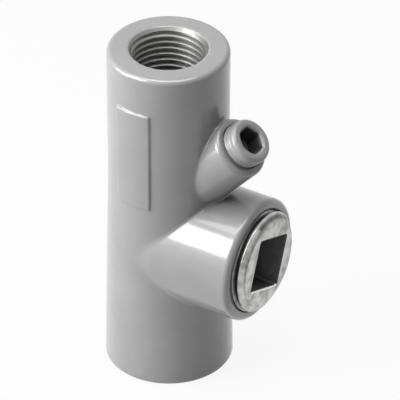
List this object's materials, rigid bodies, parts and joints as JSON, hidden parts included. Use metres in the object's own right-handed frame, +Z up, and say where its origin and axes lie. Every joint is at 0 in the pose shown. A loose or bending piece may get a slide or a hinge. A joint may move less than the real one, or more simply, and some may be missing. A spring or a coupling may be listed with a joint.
{
  "type": "conduit sealing fitting",
  "caption": "Cast conduit sealing fitting: female pipe thread at each end, large plugged side hub and small plugged pouring boss.",
  "frame": {"origin": "middle of the bottom conduit opening, in the plane of the body's bottom face", "axes": "+Z up the body's axis to the top conduit opening, +X out along the large side hub, which lies with the small boss in the XZ plane"},
  "size_m": [0.0488, 0.0348, 0.098],
  "materials": {
    "grey_paint": "semi-gloss light grey paint over cast iron, threads bare",
    "plated_steel": "dull plated, turned thread",
    "plug_paint": "the body's paint, thick enough to soften the thread"
  },
  "bodies": {
    "casting": {"fitting_body": "grey_paint"},
    "large_plug": {"large_closure_plug": "plated_steel"},
    "small_plug": {"small_closure_plug": "plug_paint"}
  },
  "joints": [
    {"name": "large_plug_slide", "type": "slide", "parent": "casting", "child": "large_plug", "axis": [1, 0, 0], "range_m": [0, 0.02]},
    {"name": "small_plug_slide", "type": "slide", "parent": "casting", "child": "small_plug", "axis": [0.7071, 0, 0.7071], "range_m": [0, 0.016]}
  ]
}
